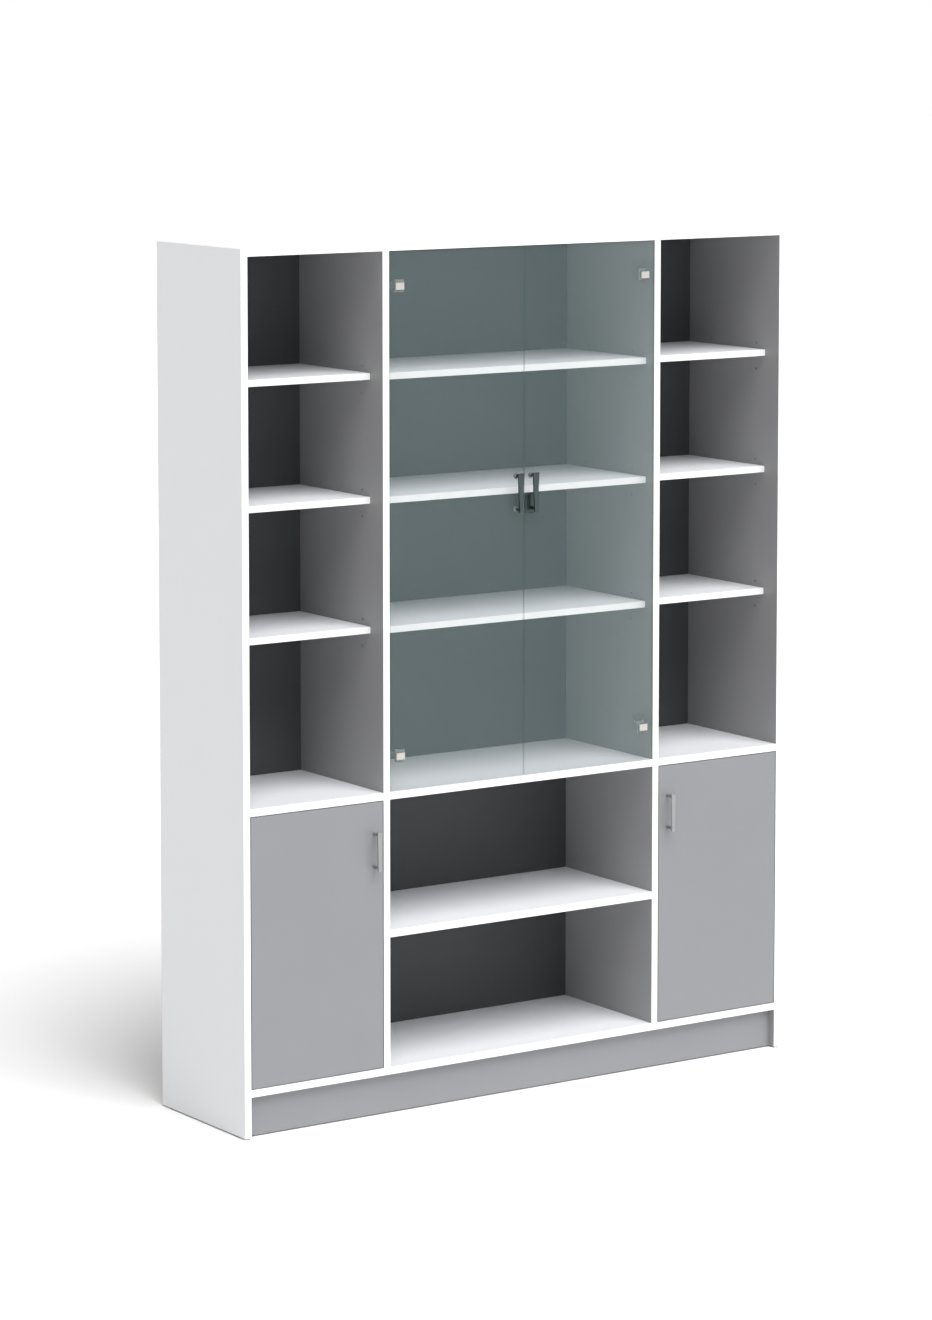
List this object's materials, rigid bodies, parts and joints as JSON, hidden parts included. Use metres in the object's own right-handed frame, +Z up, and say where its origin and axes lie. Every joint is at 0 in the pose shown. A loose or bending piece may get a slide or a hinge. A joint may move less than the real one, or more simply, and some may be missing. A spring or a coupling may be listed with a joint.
{
  "type": "bookcase with hinged doors",
  "caption": "Tall free-standing bookcase with open shelves at the sides, hinged glass doors over open shelves in the middle and flush cupboard doors below.",
  "frame": {"origin": "on the floor, in the middle of the width and of the whole depth from the pulls' faces to the back edge", "axes": "+Z up, +X to the viewer's right, the doors face -Y"},
  "size_m": [1.6, 0.413, 2.1],
  "materials": {
    "white_board": "white melamine faced board, fine matt texture",
    "grey_board": "grey melamine faced board, white on the outside of the cabinet",
    "grey_front": "grey melamine faced board, matt",
    "back_board": "dark grey thin board, matt",
    "edge_band": "white ABS edge band",
    "tinted_glass": "tinted toughened glass, polished edges",
    "zinc_steel": "zinc plated steel",
    "nickel_steel": "satin nickel plated steel",
    "grey_steel": "grey powder coated steel",
    "satin_aluminium": "satin anodised aluminium",
    "smoked_nickel": "smoked satin nickel plated die casting",
    "cast_zinc": "die cast zinc",
    "beech": "fluted beech dowel",
    "black_plastic": "moulded plastic",
    "soft_plastic": "smoky soft plastic washer"
  },
  "bodies": {
    "carcass": {"fixed_shelf_left": "white_board", "fixed_shelf_middle": "white_board", "fixed_shelf_right": "white_board", "lower_shelf_middle": "white_board", "shelf_left_low": "white_board", "shelf_left_middle": "white_board", "shelf_left_high": "white_board", "shelf_middle_low": "white_board", "shelf_middle_middle": "white_board", "shelf_middle_high": "white_board", "shelf_right_low": "white_board", "shelf_right_middle": "white_board", "shelf_right_high": "white_board", "shelf_pins": "zinc_steel", "top_panel": "white_board", "bottom_panel": "white_board", "plinth_front": "grey_front", "plinth_rear": "white_board", "plinth_braces": "white_board", "glides": "black_plastic", "back_panel_left": "back_board", "back_panel_middle": "back_board", "back_panel_right": "back_board", "pivot_pins": "zinc_steel", "magnetic_catches": "black_plastic", "glass_hinge_brackets": "grey_steel", "bracket_screws": "zinc_steel", "side_panel_left": "grey_board", "divider_left": "grey_board", "divider_right": "grey_board", "side_panel_right": "grey_board", "cam_locks": "cast_zinc", "cam_bolts": "zinc_steel", "dowels": "beech", "edge_bands": "edge_band"},
    "cupboard_door_left": {"cupboard_door_left": "grey_front", "pivot_bushes_left": "black_plastic", "cupboard_pull_left": "satin_aluminium", "cupboard_pull_screws_left": "zinc_steel", "catch_strike_left": "zinc_steel"},
    "cupboard_door_right": {"cupboard_door_right": "grey_front", "pivot_bushes_right": "black_plastic", "cupboard_pull_right": "satin_aluminium", "cupboard_pull_screws_right": "zinc_steel", "catch_strike_right": "zinc_steel"},
    "glass_door_left": {"glass_door_left": "tinted_glass", "glass_hinge_leaves_left": "grey_steel", "glass_hinge_pins_left": "zinc_steel", "glass_hinge_caps_left": "nickel_steel", "glass_pull_left": "smoked_nickel", "glass_pull_screws_left": "zinc_steel", "glass_pull_washers_left": "soft_plastic"},
    "glass_door_right": {"glass_door_right": "tinted_glass", "glass_hinge_leaves_right": "grey_steel", "glass_hinge_pins_right": "zinc_steel", "glass_hinge_caps_right": "nickel_steel", "glass_pull_right": "smoked_nickel", "glass_pull_screws_right": "zinc_steel", "glass_pull_washers_right": "soft_plastic", "pull_foot_plate": "smoked_nickel"}
  },
  "joints": [
    {"name": "cupboard_door_left_hinge", "type": "hinge", "parent": "carcass", "child": "cupboard_door_left", "pos_m": [-0.758, -0.17, 0.444], "axis": [0, 0, -1], "range_deg": [0, 95]},
    {"name": "cupboard_door_right_hinge", "type": "hinge", "parent": "carcass", "child": "cupboard_door_right", "pos_m": [0.758, -0.17, 0.444], "axis": [0, 0, 1], "range_deg": [0, 95]},
    {"name": "glass_door_left_hinge", "type": "hinge", "parent": "carcass", "child": "glass_door_left", "pos_m": [-0.3665, -0.169, 1.435], "axis": [0, 0, -1], "range_deg": [0, 95]},
    {"name": "glass_door_right_hinge", "type": "hinge", "parent": "carcass", "child": "glass_door_right", "pos_m": [0.3665, -0.169, 1.435], "axis": [0, 0, 1], "range_deg": [0, 95]}
  ]
}
